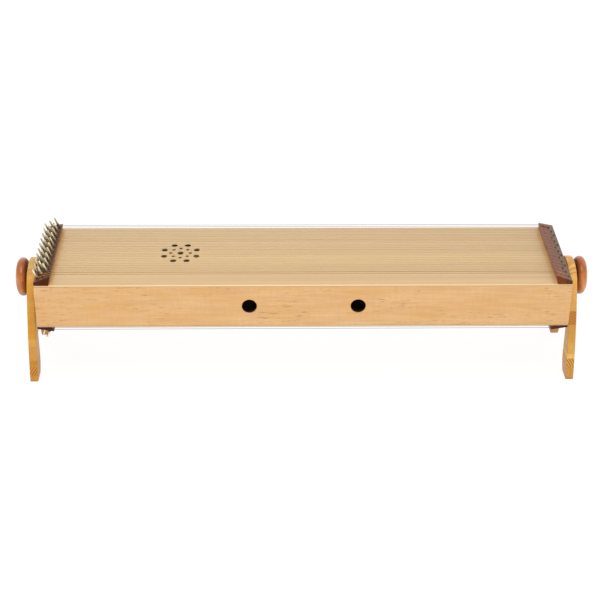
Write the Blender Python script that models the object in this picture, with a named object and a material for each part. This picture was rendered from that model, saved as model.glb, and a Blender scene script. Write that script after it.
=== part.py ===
"""Monochord: a long sound box strung on both faces, turning between two arched legs.

Metres, +Z up. The origin is on the floor, under the middle of the box.
X runs along the strings, with the tuning pins at -X, and Y runs from front to back.
"""
import math

import bmesh
import bpy
from mathutils import Vector

# Sound box
BOX_LENGTH = 1.200
BOX_DEPTH = 0.280
BOX_HEIGHT = 0.108
AXIS_HEIGHT = 0.209
BOARD_THICKNESS = 0.004
BOARD_EDGE_RADIUS = 0.0032
SIDE_THICKNESS = 0.010
END_BLOCK_LENGTH = 0.045
LINING_WIDTH = 0.012
LINING_HEIGHT = 0.010
BRACE_WIDTH = 0.008
BRACE_HEIGHT = 0.014
BRACE_END_HEIGHT = 0.004
BRACE_SPACING = 0.370
BRACE_SLOPE_LENGTH = 0.060

# Sound holes
SIDE_HOLE_RADIUS = 0.017
SIDE_HOLE_DISTANCE = 0.244
ROSETTE_X = -0.2815
ROSETTE_Y = 0.0125
ROSETTE_CENTRE_RADIUS = 0.0065
ROSETTE_INNER_CIRCLE = 0.0225
ROSETTE_INNER_RADIUS = 0.0035
ROSETTE_OUTER_CIRCLE = 0.040
ROSETTE_OUTER_RADIUS = 0.0065
ROSETTE_PETALS = 8

# Wedge blocks that lift the strings off the boards
WEDGE_WIDTH = 0.036
WEDGE_UNDERCUT = 0.0027
WEDGE_OUTER_HEIGHT = 0.006
WEDGE_RIDGE_HEIGHT = 0.0168
WEDGE_END_SETBACK = 0.011
WEDGE_EDGE_EASING = 0.0006

# Strings and their pins. Each wire makes two strings, looped round one hitch pin
WIRE_COUNT = 15
STRING_EDGE_MARGIN = 0.0211
STRING_RADIUS = 0.00035
PIN_ROWS = 3
PIN_RADIUS = 0.0025
PIN_LEAN = math.radians(4)
PIN_HEIGHT = 0.0225
PIN_SHANK_HEIGHT = 0.0110
PIN_HEAD_HALF_WIDTH = 0.0018
PIN_EDGE_DISTANCE = 0.0055
PIN_ROW_SPACING = 0.0105
PIN_COIL_HEIGHT = 0.0030
HITCH_PIN_RADIUS = 0.0014
HITCH_PIN_HEIGHT = 0.0032
HITCH_EDGE_DISTANCE = 0.0050
HITCH_ROW_SPACING = 0.0040
HITCH_LOOP_HEIGHT = 0.0011
PIN_ROOT = 0.0030

# Legs: arched boards, heights measured down from the turning axis
LEG_THICKNESS = 0.0185
LEG_HEAD_HALF_WIDTH = 0.060
LEG_HEAD_HEIGHT = 0.040
LEG_HEAD_ANGLE = 1.26
LEG_WAIST_HALF_WIDTH = 0.1103
LEG_WAIST_DROP = 0.0983
LEG_FOOT_HALF_WIDTH = 0.125
LEG_FOOT_LENGTH = 0.042
ARCH_RADIUS = 0.067
ARCH_CENTRE_DROP = 0.112
ARCH_FLARE_DROP = 0.163
LEG_EDGE_EASING = 0.002

# Turning joint at each end
SPACER_RADIUS = 0.033
SPACER_THICKNESS = 0.0106
BOLT_RADIUS = 0.005
BOLT_HOLE_RADIUS = 0.0053
BOLT_REACH = 0.028
INSERT_RADIUS = 0.008
INSERT_LENGTH = 0.025
WASHER_RADIUS = 0.0175
WASHER_THICKNESS = 0.0015
KNOB_RADIUS = 0.0445
KNOB_THICKNESS = 0.026
KNOB_OUTER_ROUND = (0.0125, 0.0202)
KNOB_INNER_ROUND = (0.0110, 0.0102)
KNOB_DOME = 0.0012
KNOB_BOSS_RADIUS = 0.0195
KNOB_BOSS_HEIGHT = 0.0022
KNOB_BORE_DEPTH = 0.018

# Clearances
GAP = 0.0003
BORE_CLEARANCE = 0.0003

# Roundness
FINE_SIDES = 36
MEDIUM_SIDES = 24
BOLT_SIDES = 16
ROSETTE_SIDES = 12
PIN_SIDES = 8
THIN_SIDES = 6

# Places worked out from the sizes
HALF_LENGTH = BOX_LENGTH / 2
HALF_DEPTH = BOX_DEPTH / 2
HALF_HEIGHT = BOX_HEIGHT / 2
BOARD_FACE = HALF_HEIGHT
CORE_HALF_HEIGHT = HALF_HEIGHT - BOARD_THICKNESS - GAP
INNER_HALF_DEPTH = HALF_DEPTH - SIDE_THICKNESS
SPACER_START = HALF_LENGTH + GAP
LEG_START = SPACER_START + SPACER_THICKNESS + GAP
WASHER_START = LEG_START + LEG_THICKNESS + GAP
KNOB_START = WASHER_START + WASHER_THICKNESS + GAP
BOLT_START = HALF_LENGTH - BOLT_REACH
BOLT_END = KNOB_START + KNOB_BORE_DEPTH - GAP
STRING_COUNT = 2 * WIRE_COUNT
STRING_PITCH = (BOX_DEPTH - 2 * STRING_EDGE_MARGIN) / (STRING_COUNT - 1)
WEDGE_RISE = (WEDGE_RIDGE_HEIGHT - WEDGE_OUTER_HEIGHT) / WEDGE_WIDTH
STRING_LIFT = WEDGE_RIDGE_HEIGHT + GAP + STRING_RADIUS

ENDS = {"left": -1, "right": 1}
FACES = {"top": 1, "bottom": -1}

# Colour, roughness and metallic value of each finish
FINISHES = {
    "spruce": ((0.72, 0.53, 0.32), 0.38, 0.0),
    "light_wood": ((0.70, 0.45, 0.22), 0.45, 0.0),
    "inner_wood": ((0.66, 0.48, 0.28), 0.70, 0.0),
    "dark_hardwood": ((0.09, 0.035, 0.014), 0.40, 0.0),
    "leg_wood": ((0.60, 0.32, 0.085), 0.42, 0.0),
    "red_wood": ((0.40, 0.12, 0.03), 0.35, 0.0),
    "nickel": ((0.62, 0.60, 0.57), 0.28, 1.0),
    "string_steel": ((0.66, 0.62, 0.55), 0.25, 1.0),
    "brass": ((0.75, 0.55, 0.22), 0.35, 1.0),
}


def remove_everything():
    for item in list(bpy.data.objects):
        bpy.data.objects.remove(item, do_unlink=True)


def make_material(name, finish):
    colour, roughness, metallic = FINISHES[finish]
    material = bpy.data.materials.new(name)
    material.use_nodes = True
    shader = material.node_tree.nodes["Principled BSDF"]
    shader.inputs["Base Color"].default_value = (*colour, 1.0)
    shader.inputs["Roughness"].default_value = roughness
    shader.inputs["Metallic"].default_value = metallic
    material.diffuse_color = (*colour, 1.0)
    return material


def add_object(name, bm, finish=None, parent=None, smooth=False):
    """Turn a bmesh, drawn round its parent's origin, into an object."""
    bmesh.ops.recalc_face_normals(bm, faces=bm.faces)
    mesh = bpy.data.meshes.new(name)
    bm.to_mesh(mesh)
    bm.free()
    item = bpy.data.objects.new(name, mesh)
    bpy.context.scene.collection.objects.link(item)
    item.parent = parent
    if smooth:
        mesh.shade_smooth()
        mesh.set_sharp_from_angle(angle=math.radians(40))
    if finish:
        mesh.materials.append(make_material(name, finish))
    return item


def add_tool(name, bm, parent, finish=None):
    """A shape that only cuts or fuses other pieces."""
    item = add_object(name, bm, finish, parent)
    item.hide_render = True
    item.display_type = "WIRE"
    return item


def add_empty(name, place, parent=None):
    item = bpy.data.objects.new(name, None)
    bpy.context.scene.collection.objects.link(item)
    item.parent = parent
    item.location = place
    return item


def cut(item, cutter):
    modifier = item.modifiers.new(cutter.name, "BOOLEAN")
    modifier.operation = "DIFFERENCE"
    modifier.solver = "EXACT"
    modifier.object = cutter


def fuse(item, tool):
    modifier = item.modifiers.new(tool.name, "BOOLEAN")
    modifier.operation = "UNION"
    modifier.solver = "EXACT"
    modifier.material_mode = "TRANSFER"
    modifier.object = tool


def ease_edges(item, width, segments=2, angle=50):
    modifier = item.modifiers.new("eased edges", "BEVEL")
    modifier.width = width
    modifier.segments = segments
    modifier.limit_method = "ANGLE"
    modifier.angle_limit = math.radians(angle)


def bridge(bm, rings, closed=False):
    """Skin a row of rings of equal counts, and cap the two ends unless the row is closed."""
    count = len(rings[0])
    pairs = list(zip(rings, rings[1:]))
    if closed:
        pairs.append((rings[-1], rings[0]))
    for low, high in pairs:
        for i in range(count):
            j = (i + 1) % count
            bm.faces.new((low[i], low[j], high[j], high[i]))
    if not closed:
        bm.faces.new(rings[0])
        bm.faces.new(reversed(rings[-1]))


def box(bm, low, high):
    corners = ((0, 0), (1, 0), (1, 1), (0, 1))
    rings = []
    for z in (low[2], high[2]):
        rings.append([bm.verts.new(((low[0], high[0])[i], (low[1], high[1])[j], z)) for i, j in corners])
    bridge(bm, rings)


def prism_along_x(bm, outline, start, end):
    """Extrude an outline of (y, z) points from x = start to x = end."""
    bridge(bm, [[bm.verts.new((x, y, z)) for y, z in outline] for x in (start, end)])


def rod(bm, start, end, radius, sides):
    """A round bar between two points."""
    start = Vector(start)
    end = Vector(end)
    along = (end - start).normalized()
    across = along.cross((0, 1, 0)) if abs(along.y) < 0.9 else along.cross((1, 0, 0))
    across.normalize()
    other = along.cross(across)
    rings = []
    for centre in (start, end):
        ring = []
        for i in range(sides):
            angle = math.tau * (i + 0.5) / sides
            ring.append(bm.verts.new(centre + radius * (math.cos(angle) * across + math.sin(angle) * other)))
        rings.append(ring)
    bridge(bm, rings)


def turned_about_x(bm, profile, sides, closed=False):
    """Spin a profile of (x, radius) points about the X axis. A closed profile makes a ring."""
    rings = []
    for x, radius in profile:
        ring = []
        for i in range(sides):
            angle = math.tau * i / sides
            ring.append(bm.verts.new((x, radius * math.cos(angle), radius * math.sin(angle))))
        rings.append(ring)
    bridge(bm, rings, closed)


def string_y(number):
    """Depth of a string on the top face: number 0 is the rear one."""
    return STRING_PITCH * ((STRING_COUNT - 1) / 2 - number)


def turned(face, place):
    """A place given for the top face. The bottom face is the top one after half a turn about the X axis."""
    x, y, z = place
    return Vector((x, FACES[face] * y, FACES[face] * z))


def slope_point(end, face, distance, y, lift=0.0, lean=0.0):
    """A point over a wedge's slope, at a distance in from the box's end.

    It is lifted square to the slope, or leaning further outwards by the lean.
    """
    angle = math.atan(WEDGE_RISE) + lean
    x = ENDS[end] * (HALF_LENGTH - distance + lift * math.sin(angle))
    z = BOARD_FACE + WEDGE_OUTER_HEIGHT + distance * WEDGE_RISE + lift * math.cos(angle)
    return turned(face, (x, y, z))


def pin_distance(number):
    """Distance of a string's tuning pin from the box's end. The rows take turns."""
    row = PIN_ROWS - 1 - number % PIN_ROWS
    return PIN_EDGE_DISTANCE + row * PIN_ROW_SPACING


def pin_y(number):
    """A tuning pin stands beside its string, so the string meets its side."""
    return string_y(number) + PIN_RADIUS + GAP + STRING_RADIUS


def hitch_distance(wire):
    row = PIN_ROWS - 1 - wire % PIN_ROWS
    return HITCH_EDGE_DISTANCE + row * HITCH_ROW_SPACING


def hitch_y(wire):
    """A hitch pin stands between the two strings of its wire."""
    return (string_y(2 * wire) + string_y(2 * wire + 1)) / 2


def make_soundboard(face, box_frame):
    up = FACES[face]
    inner = BOARD_FACE - BOARD_THICKNESS
    centre = BOARD_FACE - BOARD_EDGE_RADIUS
    outline = [(-HALF_DEPTH, up * inner), (HALF_DEPTH, up * inner)]
    steps = 4
    for i in range(steps + 1):
        angle = math.pi / 2 * i / steps
        y = HALF_DEPTH - BOARD_EDGE_RADIUS * (1 - math.cos(angle))
        outline.append((y, up * (centre + BOARD_EDGE_RADIUS * math.sin(angle))))
    for y, z in reversed(outline[2:]):
        outline.append((-y, z))
    bm = bmesh.new()
    prism_along_x(bm, outline, -HALF_LENGTH, HALF_LENGTH)
    return add_object(face + "_soundboard", bm, "spruce", box_frame)


def make_rosette_cutter(box_frame):
    """A pierced rosette: a centre hole, a ring of small holes and a ring of larger ones."""
    bm = bmesh.new()
    low = BOARD_FACE - 2 * BOARD_THICKNESS
    high = BOARD_FACE + BOARD_THICKNESS

    def drill(x, y, radius):
        rod(bm, (x, y, low), (x, y, high), radius, ROSETTE_SIDES)

    drill(ROSETTE_X, ROSETTE_Y, ROSETTE_CENTRE_RADIUS)
    for i in range(ROSETTE_PETALS):
        for circle, radius, turn in (
            (ROSETTE_INNER_CIRCLE, ROSETTE_INNER_RADIUS, 0.0),
            (ROSETTE_OUTER_CIRCLE, ROSETTE_OUTER_RADIUS, 0.5),
        ):
            angle = math.tau * (i + turn) / ROSETTE_PETALS
            drill(ROSETTE_X + circle * math.cos(angle), ROSETTE_Y + circle * math.sin(angle), radius)
    return add_tool("rosette_cutter", bm, box_frame)


def make_sides(box_frame):
    for name, side in (("front_side", -1), ("rear_side", 1)):
        bm = bmesh.new()
        near, far = sorted((side * INNER_HALF_DEPTH, side * HALF_DEPTH))
        box(bm, (-HALF_LENGTH, near, -CORE_HALF_HEIGHT), (HALF_LENGTH, far, CORE_HALF_HEIGHT))
        item = add_object(name, bm, "light_wood", box_frame)
        if side < 0:
            bm = bmesh.new()
            for x in (-SIDE_HOLE_DISTANCE / 2, SIDE_HOLE_DISTANCE / 2):
                rod(
                    bm,
                    (x, -HALF_DEPTH - SIDE_THICKNESS, 0),
                    (x, -INNER_HALF_DEPTH + SIDE_THICKNESS, 0),
                    SIDE_HOLE_RADIUS,
                    MEDIUM_SIDES,
                )
            cut(item, add_tool("side_hole_cutter", bm, box_frame))


def make_end_block(end, box_frame):
    """A solid block between the sides that takes the pins and the threaded insert."""
    side = ENDS[end]
    near, far = sorted((side * (HALF_LENGTH - END_BLOCK_LENGTH), side * HALF_LENGTH))
    depth = INNER_HALF_DEPTH - GAP
    bm = bmesh.new()
    box(bm, (near, -depth, -CORE_HALF_HEIGHT), (far, depth, CORE_HALF_HEIGHT))
    item = add_object(end + "_end_block", bm, "inner_wood", box_frame)
    insert_end = HALF_LENGTH - INSERT_LENGTH - 2 * GAP
    bolt_hole_end = BOLT_START - GAP
    outside = HALF_LENGTH + SPACER_THICKNESS
    insert_bore = INSERT_RADIUS + BORE_CLEARANCE
    profile = [(bolt_hole_end, BOLT_HOLE_RADIUS), (insert_end, BOLT_HOLE_RADIUS)]
    profile += [(insert_end, insert_bore), (outside, insert_bore)]
    bm = bmesh.new()
    turned_about_x(bm, [(side * x, radius) for x, radius in profile], BOLT_SIDES)
    cut(item, add_tool(end + "_insert_cutter", bm, box_frame))


def make_linings(box_frame):
    """Strips glued in the corners between the boards and the sides."""
    reach = HALF_LENGTH - END_BLOCK_LENGTH - GAP
    for face, up in FACES.items():
        for name, side in (("front", -1), ("rear", 1)):
            wall = side * (INNER_HALF_DEPTH - GAP)
            board = up * CORE_HALF_HEIGHT
            outline = [
                (wall, board),
                (wall - side * LINING_WIDTH, board),
                (wall - side * LINING_WIDTH, board - up * LINING_HEIGHT / 2),
                (wall - side * LINING_WIDTH / 2, board - up * LINING_HEIGHT),
                (wall, board - up * LINING_HEIGHT),
            ]
            bm = bmesh.new()
            prism_along_x(bm, outline, -reach, reach)
            add_object(face + "_" + name + "_lining", bm, "inner_wood", box_frame)


def make_braces(box_frame):
    """Cross bars under each board, with their ends planed down towards the linings."""
    reach = INNER_HALF_DEPTH - LINING_WIDTH - 2 * GAP
    shoulder = reach - BRACE_SLOPE_LENGTH
    for face, up in FACES.items():
        board = up * CORE_HALF_HEIGHT
        outline = [
            (-reach, board),
            (reach, board),
            (reach, board - up * BRACE_END_HEIGHT),
            (shoulder, board - up * BRACE_HEIGHT),
            (-shoulder, board - up * BRACE_HEIGHT),
            (-reach, board - up * BRACE_END_HEIGHT),
        ]
        for name, side in ENDS.items():
            x = side * BRACE_SPACING / 2
            bm = bmesh.new()
            prism_along_x(bm, outline, x - BRACE_WIDTH / 2, x + BRACE_WIDTH / 2)
            add_object(face + "_" + name + "_brace", bm, "inner_wood", box_frame)


def make_wedge(end, face, box_frame):
    """A sloping block: low at the box's end, highest at the ridge that the strings cross."""
    side = ENDS[end]
    up = FACES[face]
    outer = side * HALF_LENGTH
    ridge = side * (HALF_LENGTH - WEDGE_WIDTH)
    inner_base = side * (HALF_LENGTH - WEDGE_WIDTH + WEDGE_UNDERCUT)
    base = up * (BOARD_FACE + GAP)
    low_edge = up * (BOARD_FACE + WEDGE_OUTER_HEIGHT)
    high_edge = up * (BOARD_FACE + WEDGE_RIDGE_HEIGHT)
    setback = WEDGE_END_SETBACK / WEDGE_RIDGE_HEIGHT
    rings = []
    bm = bmesh.new()
    for front in (-1, 1):
        corners = (
            (outer, HALF_DEPTH, base),
            (inner_base, HALF_DEPTH, base),
            (ridge, HALF_DEPTH - WEDGE_END_SETBACK, high_edge),
            (outer, HALF_DEPTH - WEDGE_OUTER_HEIGHT * setback, low_edge),
        )
        rings.append([bm.verts.new((x, front * y, z)) for x, y, z in corners])
    bridge(bm, rings)
    kind = "pin" if end == "left" else "hitch"
    item = add_object(face + "_" + kind + "_block", bm, "dark_hardwood", box_frame)
    ease_edges(item, WEDGE_EDGE_EASING, segments=1)
    fuse(item, make_tuning_pins(face, box_frame) if end == "left" else make_hitch_pins(face, box_frame))


def pin_ring(bm, centre, across, other, reach, square=False):
    """Eight points round a pin: a circle, or a square's corners and the middles of its sides."""
    ring = []
    for i in range(PIN_SIDES):
        angle = math.tau * (i + 0.5) / PIN_SIDES
        c = math.cos(angle)
        s = math.sin(angle)
        radius = reach / max(abs(c), abs(s)) if square else reach
        ring.append(bm.verts.new(centre + radius * (c * across + s * other)))
    return ring


def make_tuning_pins(face, box_frame):
    """Round shanks, leaning away from the strings' pull, drawn in to a square head for the tuning key."""
    bm = bmesh.new()
    for number in range(STRING_COUNT):
        distance = pin_distance(number)
        y = pin_y(number)
        heights = (-PIN_ROOT, PIN_SHANK_HEIGHT, PIN_HEIGHT)
        root, shoulder, top = (slope_point("left", face, distance, y, height, PIN_LEAN) for height in heights)
        across = (top - root).cross((0, 1, 0)).normalized()
        other = (top - root).normalized().cross(across)
        rings = [pin_ring(bm, place, across, other, PIN_RADIUS) for place in (root, shoulder)]
        rings.append(pin_ring(bm, top, across, other, PIN_HEAD_HALF_WIDTH, square=True))
        bridge(bm, rings)
    return add_tool(face + "_tuning_pins", bm, box_frame, "nickel")


def make_hitch_pins(face, box_frame):
    """Short nails that the wires loop round."""
    bm = bmesh.new()
    for wire in range(WIRE_COUNT):
        distance = hitch_distance(wire)
        y = hitch_y(wire)
        root = slope_point("right", face, distance, y, -PIN_ROOT)
        top = slope_point("right", face, distance, y, HITCH_PIN_HEIGHT)
        rod(bm, root, top, HITCH_PIN_RADIUS, THIN_SIDES)
    return add_tool(face + "_hitch_pins", bm, box_frame, "nickel")


def wire_route(face, wire):
    """From a tuning pin over both ridges, round the hitch pin and back to the next tuning pin."""
    ridge = HALF_LENGTH - WEDGE_WIDTH
    height = BOARD_FACE + STRING_LIFT
    halves = []
    for number in (2 * wire, 2 * wire + 1):
        y = string_y(number)
        halves.append([
            slope_point("left", face, pin_distance(number), y, PIN_COIL_HEIGHT, PIN_LEAN),
            turned(face, (-ridge, y, height)),
            turned(face, (ridge, y, height)),
        ])
    loop = []
    radius = HITCH_PIN_RADIUS + GAP + STRING_RADIUS
    steps = 4
    for i in range(steps + 1):
        angle = math.pi * i / steps
        distance = hitch_distance(wire) - radius * math.sin(angle)
        y = hitch_y(wire) + radius * math.cos(angle)
        loop.append(slope_point("right", face, distance, y, HITCH_LOOP_HEIGHT))
    return halves[0] + loop + halves[1][::-1]


def make_wire(face, wire, box_frame):
    curve = bpy.data.curves.new("wire", "CURVE")
    curve.dimensions = "3D"
    curve.bevel_depth = STRING_RADIUS
    curve.bevel_resolution = 1
    curve.use_fill_caps = True
    route = wire_route(face, wire)
    spline = curve.splines.new("POLY")
    spline.points.add(len(route) - 1)
    for point, place in zip(spline.points, route):
        point.co = (*place, 1.0)
    name = face + "_wire_" + str(wire + 1).zfill(2)
    item = bpy.data.objects.new(name, curve)
    bpy.context.scene.collection.objects.link(item)
    item.parent = box_frame
    curve.materials.append(make_material(name, "string_steel"))


def curve_points(start, control, end, steps):
    """Points on a quadratic curve, without its first one."""
    points = []
    for i in range(1, steps + 1):
        t = i / steps
        a = (1 - t) ** 2
        b = 2 * t * (1 - t)
        c = t ** 2
        points.append(tuple(a * p + b * q + c * r for p, q, r in zip(start, control, end)))
    return points


def leg_outline():
    """The arched board's outline as (y, z) from the axis: head, limb, foot and arch, then mirrored."""
    half = []
    head_steps = 7
    for i in range(head_steps + 1):
        angle = LEG_HEAD_ANGLE * i / head_steps
        half.append((LEG_HEAD_HALF_WIDTH * math.sin(angle), LEG_HEAD_HEIGHT * math.cos(angle)))
    foot = -AXIS_HEIGHT
    waist = (LEG_WAIST_HALF_WIDTH, -LEG_WAIST_DROP)
    half += curve_points(half[-1], waist, (LEG_FOOT_HALF_WIDTH, foot), 8)
    inner_foot = LEG_FOOT_HALF_WIDTH - LEG_FOOT_LENGTH
    half.append((inner_foot, foot))
    flare_top = (ARCH_RADIUS, -ARCH_FLARE_DROP)
    flare_control = (ARCH_RADIUS, -(ARCH_FLARE_DROP + AXIS_HEIGHT) / 2)
    half += curve_points((inner_foot, foot), flare_control, flare_top, 4)
    arch_steps = 8
    for i in range(arch_steps + 1):
        angle = math.pi / 2 * i / arch_steps
        half.append((ARCH_RADIUS * math.cos(angle), -ARCH_CENTRE_DROP + ARCH_RADIUS * math.sin(angle)))
    mirrored = [(-y, z) for y, z in reversed(half[1:-1])]
    return half + mirrored


def make_leg(end, pivot):
    side = ENDS[end]
    start, stop = sorted((side * (LEG_START - HALF_LENGTH), side * (LEG_START + LEG_THICKNESS - HALF_LENGTH)))
    bm = bmesh.new()
    prism_along_x(bm, leg_outline(), start, stop)
    item = add_object(end + "_leg", bm, "leg_wood", pivot)
    ease_edges(item, LEG_EDGE_EASING)
    drill_start = (start - SPACER_THICKNESS / 2, 0, 0)
    drill_stop = (stop + SPACER_THICKNESS / 2, 0, 0)
    bm = bmesh.new()
    rod(bm, drill_start, drill_stop, BOLT_HOLE_RADIUS, MEDIUM_SIDES)
    cut(item, add_tool(end + "_leg_drill", bm, pivot))


def make_ring(name, finish, pivot, side, start, thickness, radius, sides):
    """A flat ring round the bolt. Its start is measured outwards from the box's end."""
    end = start + thickness
    profile = [(start, BOLT_HOLE_RADIUS), (start, radius), (end, radius), (end, BOLT_HOLE_RADIUS)]
    bm = bmesh.new()
    turned_about_x(bm, [(side * x, size) for x, size in profile], sides, closed=True)
    add_object(name, bm, finish, pivot, smooth=True)


def knob_profile():
    """Half section of the knob as (x, radius) from its boss on the washer, bore first."""
    inner_face = KNOB_BOSS_HEIGHT
    outer_face = KNOB_BOSS_HEIGHT + KNOB_THICKNESS - KNOB_DOME
    bore = BOLT_RADIUS + BORE_CLEARANCE
    profile = [(KNOB_BORE_DEPTH, bore), (0.0, bore), (0.0, KNOB_BOSS_RADIUS), (inner_face, KNOB_BOSS_RADIUS)]
    length, width = KNOB_INNER_ROUND
    steps = 5
    for i in range(steps + 1):
        angle = math.pi / 2 * i / steps
        x = inner_face + length * (1 - math.cos(angle))
        profile.append((x, KNOB_RADIUS - width * (1 - math.sin(angle))))
    length, width = KNOB_OUTER_ROUND
    steps = 6
    for i in range(steps + 1):
        angle = math.pi / 2 * i / steps
        x = outer_face - length * (1 - math.sin(angle))
        profile.append((x, KNOB_RADIUS - width * (1 - math.cos(angle))))
    flat = KNOB_RADIUS - width
    for share in (0.6, 0.2):
        profile.append((outer_face + KNOB_DOME * (1 - share ** 2), flat * share))
    return profile


def make_knob(end, pivot):
    side = ENDS[end]
    start = KNOB_START - HALF_LENGTH
    profile = [(side * (start + x), radius) for x, radius in knob_profile()]
    bm = bmesh.new()
    turned_about_x(bm, profile, FINE_SIDES)
    add_object(end + "_knob", bm, "red_wood", pivot, smooth=True)
    inner_end = (side * (BOLT_START - HALF_LENGTH), 0, 0)
    outer_end = (side * (BOLT_END - HALF_LENGTH), 0, 0)
    bm = bmesh.new()
    rod(bm, inner_end, outer_end, BOLT_RADIUS, BOLT_SIDES)
    add_object(end + "_bolt", bm, "nickel", pivot, smooth=True)


def build():
    remove_everything()
    box_frame = add_empty("box_frame", (0, 0, AXIS_HEIGHT))
    for face in FACES:
        board = make_soundboard(face, box_frame)
        if face == "top":
            cut(board, make_rosette_cutter(box_frame))
        for end in ENDS:
            make_wedge(end, face, box_frame)
        for wire in range(WIRE_COUNT):
            make_wire(face, wire, box_frame)
    make_sides(box_frame)
    make_linings(box_frame)
    make_braces(box_frame)
    for end, side in ENDS.items():
        make_end_block(end, box_frame)
        pivot = add_empty(end + "_pivot", (side * HALF_LENGTH, 0, 0), box_frame)
        rings = (
            ("_insert", "brass", -GAP - INSERT_LENGTH, INSERT_LENGTH, INSERT_RADIUS, BOLT_SIDES),
            ("_spacer", "red_wood", GAP, SPACER_THICKNESS, SPACER_RADIUS, MEDIUM_SIDES),
            ("_washer", "nickel", WASHER_START - HALF_LENGTH, WASHER_THICKNESS, WASHER_RADIUS, MEDIUM_SIDES),
        )
        for name, finish, start, thickness, radius, sides in rings:
            make_ring(end + name, finish, pivot, side, start, thickness, radius, sides)
        make_leg(end, pivot)
        make_knob(end, pivot)


build()
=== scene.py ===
"""The looks of a monochord: a strung sound box that turns between two arched legs.

Metres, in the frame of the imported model: +X along the strings, +Y to the rear, +Z up, floor at 0.
"""
import math

import bmesh
import bpy
from mathutils import Matrix, Vector


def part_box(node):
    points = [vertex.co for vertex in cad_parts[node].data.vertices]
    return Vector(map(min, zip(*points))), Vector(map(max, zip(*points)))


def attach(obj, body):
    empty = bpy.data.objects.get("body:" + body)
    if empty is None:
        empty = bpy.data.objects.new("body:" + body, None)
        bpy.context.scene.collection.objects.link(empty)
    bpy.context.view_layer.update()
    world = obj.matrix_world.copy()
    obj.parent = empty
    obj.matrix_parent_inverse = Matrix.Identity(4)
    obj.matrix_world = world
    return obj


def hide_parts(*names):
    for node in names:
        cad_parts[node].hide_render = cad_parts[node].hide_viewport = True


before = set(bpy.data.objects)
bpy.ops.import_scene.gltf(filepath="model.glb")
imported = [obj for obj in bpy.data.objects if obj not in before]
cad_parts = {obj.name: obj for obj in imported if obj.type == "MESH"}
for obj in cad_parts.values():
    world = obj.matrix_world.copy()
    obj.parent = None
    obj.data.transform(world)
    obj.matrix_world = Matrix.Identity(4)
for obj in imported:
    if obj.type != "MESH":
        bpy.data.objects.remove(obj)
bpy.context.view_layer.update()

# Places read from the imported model
BOARD_LOW, BOARD_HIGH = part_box("top_soundboard")
UNDER_LOW, UNDER_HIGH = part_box("bottom_soundboard")
WALL_LOW, WALL_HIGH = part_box("front_side")
HALF_LENGTH = BOARD_HIGH.x
HALF_DEPTH = BOARD_HIGH.y
AXIS_HEIGHT = (BOARD_HIGH.z + UNDER_LOW.z) / 2
HALF_HEIGHT = BOARD_HIGH.z - AXIS_HEIGHT
BOARD_THICKNESS = BOARD_HIGH.z - BOARD_LOW.z
WALL_THICKNESS = WALL_HIGH.y - WALL_LOW.y
GAP = BOARD_LOW.z - WALL_HIGH.z

# Sound box details
BOARD_EDGE_RADIUS = 0.0032
SIDE_HOLE_RADIUS = 0.017
SIDE_HOLE_DISTANCE = 0.244
ROSETTE_PLACE = (-0.2815, 0.0125)
ROSETTE_CENTRE_RADIUS = 0.0073
ROSETTE_PETALS = 8
ROSETTE_INNER = (0.0225, 0.0042)
ROSETTE_OUTER = (0.040, 0.0071)
EASING = 0.0005

# Wedge blocks
WEDGE_WIDTH = 0.036
WEDGE_UNDERCUT = 0.0027
WEDGE_OUTER_HEIGHT = 0.006
WEDGE_RIDGE_HEIGHT = 0.0168
WEDGE_END_SETBACK = 0.011
WEDGE_RISE = (WEDGE_RIDGE_HEIGHT - WEDGE_OUTER_HEIGHT) / WEDGE_WIDTH
RIDGE_DISTANCE = HALF_LENGTH - WEDGE_WIDTH

# Strings and pins
WIRE_COUNT = 15
STRING_COUNT = 2 * WIRE_COUNT
STRING_EDGE_MARGIN = 0.0211
STRING_PITCH = 2 * (HALF_DEPTH - STRING_EDGE_MARGIN) / (STRING_COUNT - 1)
STRING_RADIUS = 0.00022
WOUND_STRING_RADIUS = 0.00042
PIN_ROWS = 3
PIN_RADIUS = 0.0025
PIN_LEAN = math.radians(4)
PIN_HEIGHT = 0.0225
PIN_SHANK_HEIGHT = 0.0110
PIN_HEAD_HALF_WIDTH = 0.0021
PIN_EDGE_DISTANCE = 0.0055
PIN_ROW_SPACING = 0.0105
PIN_SIDE_STEP = PIN_RADIUS + 0.00065
COIL_HEIGHT = 0.0030
COIL_TURNS = 3.5
COIL_RISE = 0.00078
HITCH_PIN_RADIUS = 0.0014
HITCH_PIN_HEIGHT = 0.0032
HITCH_EDGE_DISTANCE = 0.0050
HITCH_ROW_SPACING = 0.0040
LOOP_HEIGHT = 0.0011
PIN_ROOT = 0.0030

# Legs, with heights from the turning axis
LEG_HEAD_HALF_WIDTH = 0.060
LEG_HEAD_HEIGHT = 0.040
LEG_HEAD_ANGLE = 1.26
LEG_WAIST_HALF_WIDTH = 0.1103
LEG_WAIST_DROP = 0.0983
LEG_FOOT_HALF_WIDTH = 0.125
LEG_FOOT_LENGTH = 0.042
ARCH_RADIUS = 0.067
ARCH_CENTRE_DROP = 0.112
ARCH_FLARE_DROP = 0.163
LEG_EDGE_EASING = 0.002
BOLT_HOLE_RADIUS = 0.0053
LEG_TOP = AXIS_HEIGHT + LEG_HEAD_HEIGHT
LEG_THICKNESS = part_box("right_leg")[1].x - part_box("right_leg")[0].x
PITH_SPAN = 0.6
GLUE_LINE = 0.0004

# Knobs and bolts
KNOB_RADIUS = 0.0445
KNOB_THICKNESS = 0.026
KNOB_OUTER_ROUND = (0.0125, 0.0202)
KNOB_INNER_ROUND = (0.0110, 0.0102)
KNOB_DOME = 0.0012
KNOB_BOSS_RADIUS = 0.0195
KNOB_BOSS_HEIGHT = 0.0022
KNOB_BORE_DEPTH = 0.018
THREAD_PITCH = 0.0015
THREAD_DEPTH = 0.0009

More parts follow.
